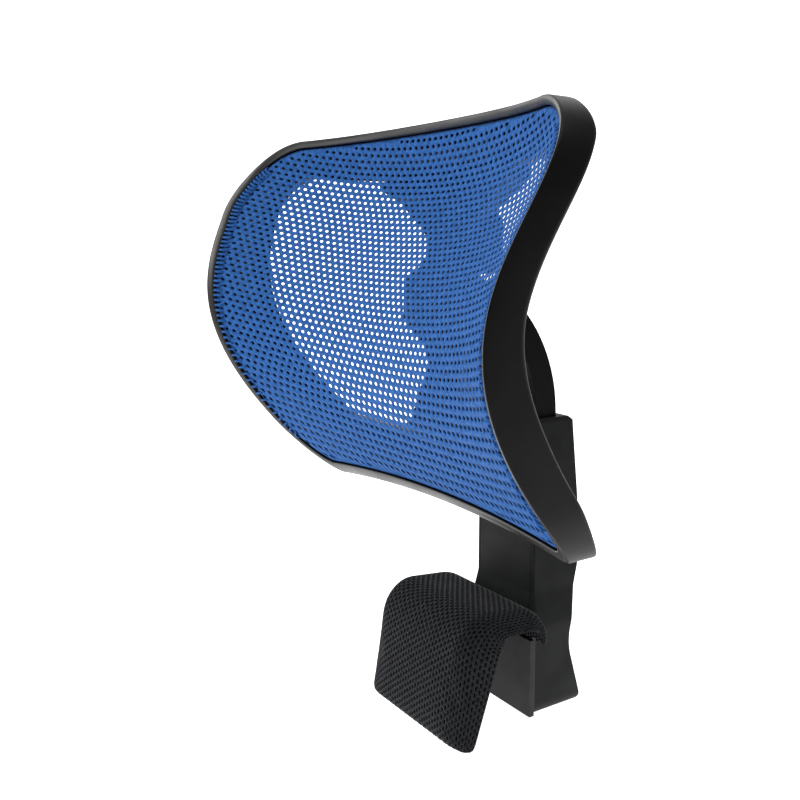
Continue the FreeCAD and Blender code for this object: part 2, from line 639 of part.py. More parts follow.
def bush(sign, side):
    span = span_on(sign, "mast_half - bush_length", "mast_half")
    wide = span_on(sign, "mast_half - bush_length - 1", "mast_half + 1")
    return cut(side + "_bush", rod(side + "_bush_tube", "x", "bush_radius", span, ("pivot_y", "pivot_z")), [
        rod(side + "_bush_hole", "x", "bolt_radius + bolt_clearance", wide, ("pivot_y", "pivot_z"))])


mirrored_pair("pivot_bushes", bush)
fuse("mast_foot", [
    box("foot_plate", ("-mast_half", "mast_half"), ("mast_front", "mast_back"), ("mast_bottom - 2.5", "mast_bottom")),
    box("foot_plug", ("-mast_half + mast_wall", "mast_half - mast_wall"),
        ("mast_front + mast_wall", "mast_back - mast_wall"), ("mast_bottom - 1", "mast_bottom + 6")),
])

# ---- Upright ----

upright_side = outline_body("upright_side", "YZ_Plane", [
    ("box_front", "box_top"), ("box_front", "flare_top", 12), ("knee_front", -2), ("knee_front", -9.6),
    ("leg_front", -9.6), ("leg_front", "foot_bottom", 4), ("foot_back", "foot_bottom", 4),
    ("box_back_waist", "waist_z", 30), ("box_back_bulge", "box_bulge_z", 80), ("box_back_top", "box_top"),
], "2 * foot_half")
upright_half = [("box_half", "box_top"), ("box_half", "flare_top", 20), ("foot_half", "flare_bottom", 20),
                ("foot_half", "foot_bottom", 8)]
mirror_half = [("-" + corner[0], *corner[1:]) for corner in reversed(upright_half)]
upright_front = outline_body("upright_front", "XZ_Plane", upright_half + mirror_half, 200)
upright_plain = common("upright_plain", [upright_side, upright_front])
upright_bevelled = bevelled(
    "upright_bevelled", upright_plain, D["edge_bevel"],
    lambda a, b: near(abs(a.x), D["box_half"]) and near(a.x, b.x) and near(a.y, D["box_front"])
    and near(b.y, D["box_front"]),
)
cover_bay = box("cover_bay", ("-cover_half - seam", "cover_half + seam"),
                ("box_front - 10", "box_front + cover_thick + seam / 3"), ("cover_bottom - seam", "box_top + 1"))
mast_bay = box("mast_bay", ("-cavity_half", "cavity_half"), ("box_front", "cavity_back"),
               ("cavity_bottom", "box_top + 1"))
stop_hole = rod("stop_hole", "y", "stop_radius + shaft_fit", ("cavity_back - 1", "foot_back + 1"),
                (0, "stop_screw_z"))
stop_sink = rod("stop_sink", "y", "stop_head_radius + 0.4", ("stop_head_front", "foot_back + 1"),
                (0, "stop_screw_z"))


def screw_set(name, radius, head_radius, x, z, head_front, head_back, end):
    """Two screws side by side along Y, heads to the front."""
    screws = []
    for sign, side in (("-", "left"), ("", "right")):
        across = f"{sign}({x})"
        screws.append(rod(f"{name}_{side}_head", "y", head_radius, (head_front, head_back), (across, z)))
        screws.append(rod(f"{name}_{side}_shank", "y", radius, (head_back, end), (across, z)))
    return fuse(name, screws)


def hole_pair(name, radius, x, z, span):
    return [rod(f"{name}_{side}", "y", radius, span, (f"{sign}({x})", z))
            for sign, side in (("-", "left"), ("", "right"))]


cover_screw_end = "knee_front + 1 + cover_screw_length"
cut("upright_channel", upright_bevelled, [cover_bay, mast_bay, stop_hole, stop_sink]
    + hole_pair("cover_pilot", "cover_screw_radius + shaft_fit", "cover_screw_x", "cover_screw_z",
                ("knee_front", cover_screw_end + " + 1"))
    + hole_pair("insert_pocket", "insert_radius", "hook_screw_x", "hook_screw_z",
                ("leg_front - 1", "leg_front + 1 + insert_length"))
    + hole_pair("screw_end_room", "hook_screw_radius + 0.3", "hook_screw_x", "hook_screw_z",
                ("leg_front", "hook_screw_end + 1")))

cover_side = outline_body("cover_side", "YZ_Plane", [
    ("box_front", "box_top - seam"), ("box_front", "flare_top", 12), ("knee_front", -2),
    ("knee_front", "cover_bottom"), ("box_front + cover_thick", "cover_bottom"),
    ("box_front + cover_thick", "box_top - seam"),
], "2 * cover_half")
cut("front_cover", cover_side,
    hole_pair("cover_hole", "cover_screw_radius + shaft_fit", "cover_screw_x", "cover_screw_z",
              ("knee_front - 1", "box_front + cover_thick + 1"))
    + hole_pair("cover_sink", "cover_screw_head + 0.2", "cover_screw_x", "cover_screw_z",
                ("knee_front - 1", "knee_front + 1.6")))
screw_set("cover_screws", "cover_screw_radius", "cover_screw_head", "cover_screw_x", "cover_screw_z",
          "knee_front + 0.1", "knee_front + 1.6", cover_screw_end)

collar_blank = box("collar_blank", ("-box_half", "box_half"), ("box_front", "box_back_top"),
                   ("box_top", "box_top + collar_height"))
collar_bevelled = bevelled(
    "collar_bevelled", collar_blank, D["collar_bevel"],
    lambda a, b: near(a.z, D["box_top"] + D["collar_height"]) and near(a.z, b.z),
)
cut("mouth_collar", collar_bevelled, [
    box("collar_hole", ("-mast_half - 0.4", "mast_half + 0.4"), ("mast_front - 0.4", "mast_back + 0.4"),
        ("box_top - 1", "box_top + collar_height + 1")),
])


def liner(sign, side):
    return box(side + "_liner", span_on(sign, "mast_half + slide_gap", "cavity_half"),
               ("mast_front", "mast_back"), ("liner_bottom", "guide_top"))


mirrored_pair("side_liners", liner)
box("front_glide", ("-pad_half", "pad_half"), ("box_front + cover_thick", "mast_front - slide_gap"),
    ("liner_bottom", "guide_top"))
box("friction_pad", ("-pad_half", "pad_half"), ("mast_back + slide_gap", "cavity_back"),
    ("pad_bottom", "guide_top"))
fuse("stop_screw", [
    rod("stop_shank", "y", "stop_radius", ("mast_back - mast_wall + 0.3", "stop_head_front"), (0, "stop_screw_z")),
    rod("stop_head", "y", "stop_head_radius", ("stop_head_front", "stop_head_front + stop_head_thick"),
        (0, "stop_screw_z")),
])

# ---- Hook ----


def arch(name, grow, half, front_low="flap_bottom", back_low="sleeve_back_low"):
    """The sleeve's inverted U, drawn in by an amount on every side."""
    inner_y = "rail_gap / 2"
    return outline_body(name, "YZ_Plane", [
        (f"sleeve_front_low + {grow}", f"{front_low} + {grow}", f"6 - {grow}"),
        (f"sleeve_front_high + {grow}", f"sleeve_top - {grow}", f"sleeve_round_front - {grow}"),
        (f"sleeve_back - {grow}", f"sleeve_top_back - {grow}", f"sleeve_round_back - {grow}"),
        (f"sleeve_back - {grow}", back_low),
        (f"{inner_y} + {grow}", back_low),
        (f"{inner_y} + {grow}", f"{grow}", f"seat_round_back + {grow}"),
        (f"-{inner_y} - {grow}", f"{grow}", f"seat_round_front + {grow}"),
        (f"flap_inner_low - {grow}", f"{front_low} + {grow}", f"4 - {grow}"),
    ], f"2 * ({half})")


def strap_arch(name, grow, half):
    """The steel strap, thicker by an amount on every side."""
    inner = f"(strap_thick + {grow})"
    return outline_body(name, "YZ_Plane", [
        (f"strap_foot - {grow}", f"strap_front_low - {grow}"),
        (f"strap_front - {grow}", f"strap_top + {grow}", f"strap_round_front + {grow}"),
        (f"strap_back + {grow}", f"strap_top + {grow}", f"strap_round_back + {grow}"),
        (f"strap_back + {grow}", f"strap_back_low - {grow}"),
        (f"strap_back - {inner}", f"strap_back_low - {grow}"),
        (f"strap_back - {inner}", f"strap_top - {inner}", f"strap_round_back - {inner}"),
        (f"strap_front_inner + {grow}", f"strap_top - {inner}", f"strap_round_front - {inner}"),
        (f"strap_foot_inner + {grow}", f"strap_front_low - {grow}"),
    ], f"2 * ({half})")


sleeve_full = arch("sleeve_full", 0, "sleeve_half")
sleeve_room = arch("sleeve_room", "sleeve_thick", "sleeve_half - sleeve_thick", back_low="sleeve_back_low - 1")
cut("hook_sleeve", sleeve_full, [sleeve_room])
foam_full = arch("foam_full", "(sleeve_thick + skin_gap)", "sleeve_half - sleeve_thick - skin_gap")
strap_room = strap_arch("strap_room", "fit_gap", "strap_half + fit_gap")
cut("hook_foam", foam_full, [strap_room])
strap_full = strap_arch("strap_full", 0, "strap_half")
cut("hook_strap", strap_full, hole_pair("strap_hole", "hook_screw_radius + 0.3", "hook_screw_x", "hook_screw_z",
                                        ("strap_back - strap_thick - 1", "strap_back + 1")))
pad_back = "strap_back - strap_thick"
screw_set("hook_screws", "hook_screw_radius", "hook_screw_head", "hook_screw_x", "hook_screw_z",
          pad_back + " - hook_screw_head_thick", pad_back, "hook_screw_end")
insert_tubes = hole_pair("insert_tube", "insert_radius", "hook_screw_x", "hook_screw_z",
                         ("leg_front", "leg_front + insert_length"))
cut("threaded_inserts", fuse("insert_blanks", insert_tubes), hole_pair(
    "insert_thread", "hook_screw_radius + shaft_fit", "hook_screw_x", "hook_screw_z", ("leg_front - 1", "hook_screw_end")))
cut("rear_pad", box("rear_pad_block", ("-rear_pad_half", "rear_pad_half"), ("rail_gap / 2", pad_back),
                    ("rear_pad_bottom", "rear_pad_top")),
    hole_pair("pad_hole", "hook_screw_head + 0.3", "hook_screw_x", "hook_screw_z",
              (pad_back + " - hook_screw_head_thick - 0.3", pad_back + " + 1")))

NODES = [
    "headrest_rim", "mesh_panel", "edge_strip", "back_spine", "spine_screws", "pivot_bolt", "pivot_nut",
    "friction_washers", "pivot_caps", "mast", "mast_foot", "pivot_bushes", "upright_channel", "front_cover",
    "mouth_collar", "side_liners", "front_glide", "friction_pad", "stop_screw", "cover_screws", "hook_strap",
    "hook_foam", "hook_sleeve", "hook_screws", "threaded_inserts", "rear_pad",
]

doc.recompute()
for thing in doc.Objects:
    if "Invalid" in thing.State or "Error" in thing.State:
        raise RuntimeError(f"{thing.Label} is {thing.State}")
    if hasattr(thing, "Shape") and thing.TypeId.startswith(("Part::", "PartDesign::")):
        if thing.Shape.isNull() or not thing.Shape.isValid():
            raise RuntimeError(f"{thing.Label} has no valid shape")

os.makedirs("parts", exist_ok=True)
for node in NODES:
    doc.getObject(node).Shape.exportStep(f"parts/{node}.step")
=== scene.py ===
import math

import bmesh
import bpy
import numpy as np
from mathutils import Matrix, Vector


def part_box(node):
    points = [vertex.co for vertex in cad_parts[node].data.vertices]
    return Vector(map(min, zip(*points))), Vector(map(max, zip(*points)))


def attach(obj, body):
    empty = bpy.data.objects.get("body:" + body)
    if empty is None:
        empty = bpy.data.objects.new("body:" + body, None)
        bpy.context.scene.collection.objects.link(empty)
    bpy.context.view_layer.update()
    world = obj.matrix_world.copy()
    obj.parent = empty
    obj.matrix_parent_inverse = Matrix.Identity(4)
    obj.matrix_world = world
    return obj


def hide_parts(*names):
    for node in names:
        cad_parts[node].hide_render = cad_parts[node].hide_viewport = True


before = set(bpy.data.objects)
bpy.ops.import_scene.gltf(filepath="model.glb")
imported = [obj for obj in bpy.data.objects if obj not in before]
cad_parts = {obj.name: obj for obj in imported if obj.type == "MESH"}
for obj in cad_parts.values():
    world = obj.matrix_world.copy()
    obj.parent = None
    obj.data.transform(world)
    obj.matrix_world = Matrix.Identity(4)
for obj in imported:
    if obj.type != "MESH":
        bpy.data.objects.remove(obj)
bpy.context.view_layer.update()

scene = bpy.context.scene
MM = 0.001

# ---------------------------------------------------------------- the headrest's saddle, as in the CAD model
LEAN = math.radians(-23.449)
SADDLE_CENTRE = np.array([0.0, -60.0, 172.0]) * MM
PLAN_RADIUS = 234.8
PROFILE = (0.0051169, -0.000064933)
PROFILE_GAIN = 0.1016
HALF_WIDE = 136.4


def saddle(x, z, depth):
    """Points of the headrest in metres, from x, z in its leaning frame and a depth behind its front, in mm."""
    x, z, depth = np.broadcast_arrays(*(np.asarray(v, float) for v in (x, z, depth)))
    along = PLAN_RADIUS * np.arcsin(np.clip(x / PLAN_RADIUS, -1, 1))
    gain = 1 + PROFILE_GAIN * (along / HALF_WIDE) ** 2
    y = np.sqrt(PLAN_RADIUS**2 - x**2) - PLAN_RADIUS + (PROFILE[0] * z**2 + PROFILE[1] * z**3) * gain
    points = np.stack([x, y * math.cos(LEAN) - z * math.sin(LEAN) + depth,
                       y * math.sin(LEAN) + z * math.cos(LEAN)], -1)
    return points * MM + SADDLE_CENTRE


# ---------------------------------------------------------------- camera
AZIMUTH, ELEVATION, ROLL = math.radians(56.878), math.radians(3.423), math.radians(0.342)
right = Vector((math.cos(AZIMUTH), math.sin(AZIMUTH), 0))
back = Vector((math.sin(AZIMUTH) * math.cos(ELEVATION), -math.cos(AZIMUTH) * math.cos(ELEVATION),
               math.sin(ELEVATION)))
up = back.cross(right)
turn = Matrix((right, up, back)).transposed().to_4x4() @ Matrix.Rotation(ROLL, 4, "Z")
camera_data = bpy.data.cameras.new("camera")
camera_data.sensor_width = 36
camera_data.lens = 41.5
camera_data.shift_x = 0.019
camera_data.shift_y = -0.1236
camera_data.clip_start = 0.01
camera = bpy.data.objects.new("camera", camera_data)
scene.collection.objects.link(camera)
camera.matrix_world = Matrix.Translation(Vector((0.3938, -0.3169, 0.2001))) @ turn
scene.camera = camera


# ---------------------------------------------------------------- materials
def new_material(name):
    """A node material and its Principled shader."""
    material = bpy.data.materials.new(name)
    material.use_nodes = True
    return material, material.node_tree, material.node_tree.nodes["Principled BSDF"]


def add(tree, kind, **values):
    """A shader node with its input values and settings."""
    node = tree.nodes.new(kind)
    for key, value in values.items():
        if key in node.inputs:
            node.inputs[key].default_value = value
        else:
            setattr(node, key, value)
    return node


def grain_bump(tree, shader, scale, strength, distance, detail=3.0):
    """Fine moulded grain in real scale."""
    place = add(tree, "ShaderNodeTexCoord")
    noise = add(tree, "ShaderNodeTexNoise", Scale=scale, Detail=detail)
    bump = add(tree, "ShaderNodeBump", Strength=strength, Distance=distance)
    tree.links.new(place.outputs["Object"], noise.inputs["Vector"])
    tree.links.new(noise.outputs["Fac"], bump.inputs["Height"])
    tree.links.new(bump.outputs["Normal"], shader.inputs["Normal"])
    return place


def mottled(tree, shader, place, socket, low, high, scale):
    """A value or colour that drifts gently over the surface, as handling and moulding leave it."""
    noise = add(tree, "ShaderNodeTexNoise", Scale=scale, Detail=2.0)
    tree.links.new(place.outputs["Object"], noise.inputs["Vector"])
    ramp = add(tree, "ShaderNodeValToRGB")
    ramp.color_ramp.elements[0].position = 0.35
    ramp.color_ramp.elements[1].position = 0.65
    as_colour = (lambda v: (v, v, v, 1)) if isinstance(low, float) else (lambda v: (*v, 1))
    ramp.color_ramp.elements[0].color = as_colour(low)
    ramp.color_ramp.elements[1].color = as_colour(high)
    tree.links.new(noise.outputs["Fac"], ramp.inputs["Fac"])
    tree.links.new(ramp.outputs["Color"], shader.inputs[socket])


def plastic(name, dark, light, rough, grain_scale, grain_depth, gloss=0.5):
    """Moulded plastic: a fine grain, with colour and roughness that drift a little."""
    material, tree, shader = new_material(name)
    shader.inputs["Specular IOR Level"].default_value = gloss
    place = grain_bump(tree, shader, grain_scale, 0.35, grain_depth)
    mottled(tree, shader, place, "Base Color", dark, light, 60)
    mottled(tree, shader, place, "Roughness", rough[0], rough[1], 35)
    return material


def metal(name, colour, rough, metallic=1.0):
    """Brushed or coated metal: roughness that drifts a little."""
    material, tree, shader = new_material(name)
    shader.inputs["Metallic"].default_value = metallic
    shader.inputs["Base Color"].default_value = (*colour, 1)
    place = grain_bump(tree, shader, 900, 0.2, 0.0001)
    mottled(tree, shader, place, "Roughness", rough[0], rough[1], 200)
    return material


def cloth(name, dark, light, sheen, yarn_scale, gloss=0.18):
    """Knitted yarn: fine fibres along the thread and a soft sheen."""
    material, tree, shader = new_material(name)
    shader.inputs["Roughness"].default_value = 0.72
    shader.inputs["Specular IOR Level"].default_value = gloss
    shader.inputs["Sheen Weight"].default_value = sheen
    shader.inputs["Sheen Roughness"].default_value = 0.45
    place = grain_bump(tree, shader, yarn_scale, 0.6, 0.00015, detail=5.0)
    mottled(tree, shader, place, "Base Color", dark, light, yarn_scale / 3)
    return material


rim_plastic = plastic("rim_plastic", (0.0030, 0.0028, 0.0028), (0.0048, 0.0044, 0.0044), (0.36, 0.46),
                      2600, 0.00005, 0.09)
# A lighter copy of the rim's plastic for the lip's front: its colour is a painted highlight, not a different
# finish.
lip_highlight_plastic = plastic("lip_highlight_plastic", (0.009, 0.0082, 0.0075), (0.017, 0.0155, 0.014), (0.32, 0.44),
                      2600, 0.00005, 0.5)
upright_plastic = plastic("upright_plastic", (0.0066, 0.0074, 0.0072), (0.0098, 0.0108, 0.0104),
                          (0.52, 0.64), 2200, 0.0001, 0.12)
nylon = plastic("nylon", (0.66, 0.65, 0.60), (0.72, 0.71, 0.66), (0.45, 0.55), 1500, 0.00005)
rubber = plastic("rubber", (0.012, 0.012, 0.012), (0.02, 0.02, 0.02), (0.75, 0.85), 1200, 0.0002)
zinc = metal("zinc", (0.55, 0.56, 0.57), (0.28, 0.42))
brass = metal("brass", (0.72, 0.55, 0.26), (0.25, 0.35))
black_coat = metal("black_coat", (0.02, 0.02, 0.02), (0.45, 0.55), 0.0)
blue_yarn = cloth("blue_yarn", (0.015, 0.070, 0.225), (0.030, 0.112, 0.345), 0.02, 1600, 0.05)
black_yarn = cloth("black_yarn", (0.0055, 0.006, 0.0075), (0.0125, 0.0135, 0.0165), 0.10, 1400, 0.14)
dark_core = cloth("dark_core", (0.0015, 0.0015, 0.0015), (0.003, 0.003, 0.003), 0.02, 900)

NODE_MATERIALS = {
    rim_plastic: ["headrest_rim", "edge_strip", "back_spine", "pivot_caps", "mast"],
    upright_plastic: ["upright_channel", "front_cover", "mouth_collar"],
    nylon: ["friction_washers", "pivot_bushes", "side_liners", "front_glide", "mast_foot"],
    rubber: ["rear_pad", "friction_pad"],
    zinc: ["spine_screws", "pivot_bolt", "pivot_nut", "stop_screw", "cover_screws", "hook_screws"],
    brass: ["threaded_inserts"],
    black_coat: ["hook_strap"],
    dark_core: ["hook_foam"],
}
for material, names in NODE_MATERIALS.items():
    for name in names:
        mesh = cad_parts[name].data
        mesh.materials.clear()
        mesh.materials.append(material)


def piece(name, points, faces, material, smooth=True):
    """A mesh object in the row frame."""
    mesh = bpy.data.meshes.new(name)
    mesh.from_pydata([tuple(p) for p in points], [], [tuple(int(i) for i in f) for f in faces])
    mesh.validate()
    mesh.materials.append(material)
    mesh.polygons.foreach_set("use_smooth", [smooth] * len(mesh.polygons))
    made = bpy.data.objects.new(name, mesh)
    scene.collection.objects.link(made)
    return made


def outward_faces(made):
    """Turn every face of a closed mesh outwards."""
    shape = bmesh.new()
    shape.from_mesh(made.data)
    bmesh.ops.recalc_face_normals(shape, faces=shape.faces)
    shape.to_mesh(made.data)
    shape.free()


def tube_faces(rows, columns, first=0):
    """Quads of a tube whose points are rows of closed loops, numbered from a first point on."""
    return [(first + i * columns + j, first + i * columns + (j + 1) % columns,
             first + (i + 1) * columns + (j + 1) % columns, first + (i + 1) * columns + j)
            for i in range(rows - 1) for j in range(columns)]


# ---------------------------------------------------------------- the rim's outline in the leaning frame, mm
def arc_through(a, b, c, count):
    """Points on the circle through three points, from a to c."""
    a, b, c = (np.array(p, float) for p in (a, b, c))
    m = np.array([b - a, c - a]) * 2
    centre = np.linalg.solve(m, [b @ b - a @ a, c @ c - a @ a])
    first, middle, last = (math.atan2(*(p - centre)[::-1]) for p in (a, b, c))
    turn = (last - first + math.pi) % (2 * math.pi) - math.pi
    if not min(0, turn) <= (middle - first + math.pi) % (2 * math.pi) - math.pi <= max(0, turn):
        turn -= math.copysign(2 * math.pi, turn)
    angles = first + np.linspace(0, 1, count) * turn
    return centre + np.linalg.norm(a - centre) * np.stack([np.cos(angles), np.sin(angles)], -1)


def closed_outline(sides, radii, step=2.0):
    """Side curves joined end to end, with the corner after each side rounded to a radius, evenly spaced."""
    fillets = [round_between(side, following, radius)
               for side, following, radius in zip(sides, sides[1:] + sides[:1], radii)]
    path = []
    for i, (tail, arc, _) in enumerate(fillets):
        start = fillets[i - 1][2]
        path += [sides[i][start:tail], arc]
    return even(np.concatenate(path), step)


def round_between(side, following, radius):
    """(last index kept on side, arc points, first index kept on following) of a fillet between two curves."""
    inner_a, inner_b = inward(side, radius), inward(following, radius)
    far = np.linalg.norm(inner_a[:, None] - inner_b[None], axis=2)
    i, j = np.unravel_index(far.argmin(), far.shape)
    centre = (inner_a[i] + inner_b[j]) / 2
    start, end = (math.atan2(*(spot - centre)[::-1]) for spot in (side[i], following[j]))
    turn = (end - start + math.pi) % (2 * math.pi) - math.pi
    angles = start + np.linspace(0, 1, 40) * turn
    return i, centre + radius * np.stack([np.cos(angles), np.sin(angles)], -1), j


def inward(curve, distance):
    """A curve moved towards the middle of the outline."""
    along = np.gradient(curve, axis=0)
    normal = np.stack([-along[:, 1], along[:, 0]], -1)
    normal /= np.linalg.norm(normal, axis=1)[:, None]
    if (normal * curve).sum() > 0:
        normal = -normal
    return curve + distance * normal


def even(path, step):
    """A closed path again, with points about a step apart."""
    closed = np.concatenate([path, path[:1]])
    along = np.concatenate([[0], np.cumsum(np.linalg.norm(np.diff(closed, axis=0), axis=1))])
    at = np.linspace(0, along[-1], round(along[-1] / step), endpoint=False)
    return np.stack([np.interp(at, along, closed[:, k]) for k in range(2)], -1)


def four_arcs(top, top_mid, middle, bottom, bottom_mid, corner_top, corner_bottom):
    """A closed outline of four gentle arcs; top, middle and bottom are points of its right half."""
    (tx, tz), (mx, mz), (bx, bz) = top, middle, bottom
    sides = [
        arc_through((-tx, tz), (0, top_mid), (tx, tz), 600),
        arc_through((tx, tz), (mx, mz), (bx, bz), 600),
        arc_through((bx, bz), (0, bottom_mid), (-bx, bz), 600),
        arc_through((-bx, bz), (-mx, mz), (-tx, tz), 600),
    ]
    return closed_outline(sides, [corner_top, corner_bottom, corner_bottom, corner_top])


rim_outline = four_arcs((150.0, 76.3), 96.6, (136.4, 0), (114.5, -93.2), -85.2, 48.0, 21.0)
window_outline = four_arcs((124.0, 65.0), 70.5, (108.0, 0), (52.0, -61.0), -60.0, 24.0, 12.0)


def edge_distance(points, outline):
    """How far inside a closed outline points are (negative outside), and the nearest points on it."""
    start, end = outline, np.roll(outline, -1, axis=0)
    step = end - start
    share = ((points[:, None] - start) * step).sum(2) / (step * step).sum(1)
    nearest = start + np.clip(share, 0, 1)[..., None] * step
    away = np.linalg.norm(points[:, None] - nearest, axis=2)
    k = away.argmin(1)
    rows = np.arange(len(points))
    a, b = start[None], end[None]
    above = (a[..., 1] > points[:, None, 1]) != (b[..., 1] > points[:, None, 1])
    with np.errstate(divide="ignore", invalid="ignore"):
        share_up = (points[:, None, 1] - a[..., 1]) / (b[..., 1] - a[..., 1])
        cross = a[..., 0] + share_up * (b[..., 0] - a[..., 0])
    inside = (above & (points[:, None, 0] < cross)).sum(1) % 2 == 1
    return np.where(inside, 1, -1) * away[rows, k], nearest[rows, k]


# ---------------------------------------------------------------- the rim with its moulded roundings
RIM_DEPTH, THIN_LOW, THIN_HIGH, DEEP_SIDE = 20.0, 6.5, 5.5, 5.5


def eased(share):
    """A smooth step from 0 to 1."""
    share = np.clip(share, 0, 1)
    return share**2 * (3 - 2 * share)


def outward(outline):
    """Unit normals of a closed outline, pointing out."""
    along = np.roll(outline, -3, axis=0) - np.roll(outline, 3, axis=0)
    normal = np.stack([-along[:, 1], along[:, 0]], -1)
    normal /= np.linalg.norm(normal, axis=1)[:, None]
    return normal * np.sign((normal * outline).sum())


def matched(outline, other):
    """Points of another outline at the same turns round the middle as an outline's points."""
    turn = np.unwrap(np.arctan2(outline[:, 1], outline[:, 0] * 0.62))
    other_turn = np.arctan2(other[:, 1], other[:, 0] * 0.62)
    order = np.argsort(other_turn)
    return np.stack([np.interp(turn, other_turn[order], other[order, k], period=2 * math.pi)
                     for k in range(2)], -1)


rim_x, rim_z = rim_outline.T
rim_back = (RIM_DEPTH + DEEP_SIDE * eased((abs(rim_x) - 70) / 35) * eased((-12 - rim_z) / 55)
            - THIN_LOW * eased((-74 - rim_z) / 19) - THIN_HIGH * eased((rim_z - 60) / 27))
window_match = matched(rim_outline, window_outline)
rim_normal, window_normal = outward(rim_outline), outward(window_match)
# Each step of the moulding's section: which outline, how far inside it, depth, and whether the depth is
# measured back from the rim's rear edge.
LIP = [("rim", 0, 1.4, 0), ("rim", 0.15, 0.75, 0), ("rim", 0.5, 0.25, 0), ("rim", 1.0, 0, 0),
       ("rim", 1.6, 0.05, 0), ("rim", 3.1, 0.35, 0), ("rim", 3.5, 0.8, 0), ("rim", 3.6, 1.5, 0),
       ("rim", 3.6, 6.0, 0)]
FLANGE = [("rim", 6.2, 6.0, 0), ("rim", 6.2, 2.6, 0), ("rim", 6.6, 2.2, 0), ("window", -0.8, 2.2, 0),
          ("window", 0, 3.0, 0), ("window", 0, 12.4, 0), ("window", -0.6, 13, 0), ("window", -2.4, 13, 0),
          ("window", -3, 12.4, 0), ("window", -3, 9.2, 0), ("window", -4, 8.2, 0)]
BACK = [("rim", 4.2, 8.2, 0), ("rim", 3.2, 9.0, 0), ("rim", 3.2, 0.8, 1), ("rim", 2.7, 0.15, 1),
        ("rim", 2.0, 0, 1), ("rim", 1.2, 0.2, 1), ("rim", 0.5, 0.8, 1), ("rim", 0.1, 1.8, 1),
        ("rim", 0, 3.0, 1)]
rings = []
for base, inside, deep, from_rear in LIP + FLANGE + BACK:
    line, normal = (rim_outline, rim_normal) if base == "rim" else (window_match, window_normal)
    place = line - normal * inside
    rings.append(saddle(place[:, 0], place[:, 1], rim_back - deep if from_rear else deep))
around = len(rim_outline)
point_count = around * len(rings)
rim_faces = [tuple(number % point_count for number in face) for face in tube_faces(len(rings) + 1, around)]
rim = piece("rim", np.concatenate(rings), rim_faces, rim_plastic)
outward_faces(rim)
# The lip's front gets a lighter, glossier copy of the rim's plastic: its lighter colour is a painted highlight
# along the lip.
rim.data.materials.append(lip_highlight_plastic)
for face in rim.data.polygons[2 * around:7 * around]:
    face.material_index = 1
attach(rim, "headrest")
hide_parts("headrest_rim")

# ---------------------------------------------------------------- blue net with real holes
COLUMN, ROW = 4.9, 3.35


def net_cells(x_range, z_range, column, row):
    """Centres of staggered cells."""
    centres = []
    rows = np.arange(z_range[0], z_range[1], row)
    for i, z in enumerate(rows):
        shift = column / 2 * (i % 2)
        centres += [(x + shift, z) for x in np.arange(x_range[0], x_range[1], column)]
    return np.array(centres)


def ring_cell(column, row, hole_wide, hole_high):
    """Outer corners of a cell and its hole's corners, both counterclockwise, ready to be joined by quads."""
    outer = np.array([(.5, 0), (.5, .5), (0, .5), (-.5, .5), (-.5, 0), (-.5, -.5), (0, -.5), (.5, -.5)])
    angles = np.arctan2(outer[:, 1] * row, outer[:, 0] * column)
    angles[[1, 3, 5, 7]] = np.radians([40, 140, 220, 320])
    hole = np.stack([np.cos(angles) * hole_wide / 2, np.sin(angles) * hole_high / 2], -1)
    return outer * (column, row), hole


def net_mesh(centres, column, row, hole_wide, hole_high, wrap=None):
    """A flat net's points, its quads, and which points are the holes'; wrap closes it to a tube."""
    outer, hole = ring_cell(column, row, hole_wide, hole_high)
    index, points, faces, holes = {}, [], [], []

    def number(p):
        key = (round(p[0], 2), round(p[1], 2) % wrap if wrap else round(p[1], 2))
        if key not in index:
            index[key] = len(points)
            points.append(p)
        return index[key]

    for centre in centres:
        rim = [number(tuple(centre + o)) for o in outer]
        first = len(points)
        points += [tuple(centre + p) for p in hole]
        holes += range(first, first + 8)
        faces += [(rim[i], rim[(i + 1) % 8], first + (i + 1) % 8, first + i) for i in range(8)]
    return np.array(points), np.array(faces), np.array(holes)


def open_edges(faces):
    """The edges of a flat net that only one face uses."""
    edges = np.concatenate([faces[:, [i, (i + 1) % 4]] for i in range(4)])
    known = {tuple(e) for e in edges}
    return np.array([(a, b) for a, b in edges if (b, a) not in known])


def thicken(front, behind, faces):
    """A closed net from its front and back points: both sides and the walls of every hole and edge."""
    count = len(front)
    walls = [(b, a, a + count, b + count) for a, b in open_edges(faces)]
    return np.concatenate([front, behind]), np.concatenate([faces, faces[:, ::-1] + count, np.array(walls)])


YARN_FRONT, YARN_BACK = 0.7, 1.55
NET_EDGE, DIP_START, DIP = 4.1, 6.9, 2.0
HOLE_WIDE, HOLE_HIGH = 2.75, 1.7
cells = net_cells((-150, 150), (-108, 100), COLUMN, ROW)
cell_inset, _ = edge_distance(cells, rim_outline)
flat, quads, holes = net_mesh(cells[cell_inset > NET_EDGE + 1.8], COLUMN, ROW, HOLE_WIDE, HOLE_HIGH)
inset, nearest = edge_distance(flat, rim_outline)
# The outermost points are drawn out to one even line, as the fabric is pulled into the groove.
outermost = np.setdiff1d(open_edges(quads), holes)
direction = np.sign(inset)[:, None] * (flat - nearest)
direction /= np.linalg.norm(direction, axis=1)[:, None]
flat[outermost] = (nearest + NET_EDGE * direction)[outermost]
inset[outermost] = NET_EDGE
dip = DIP * np.clip((DIP_START - inset) / (DIP_START - NET_EDGE), 0, 1) ** 1.5
# The yarn is thinner at the holes, so its section is rounded.
thinner_front, thinner_back = np.zeros(len(flat)), np.zeros(len(flat))
thinner_front[holes], thinner_back[holes] = 0.28, 0.22
net_front = saddle(*flat.T, YARN_FRONT + dip + thinner_front)
net_back = saddle(*flat.T, YARN_BACK + dip - thinner_back)
net = piece("mesh_net", *thicken(net_front, net_back, quads[:, ::-1]), blue_yarn)
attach(net, "headrest")
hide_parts("mesh_panel")

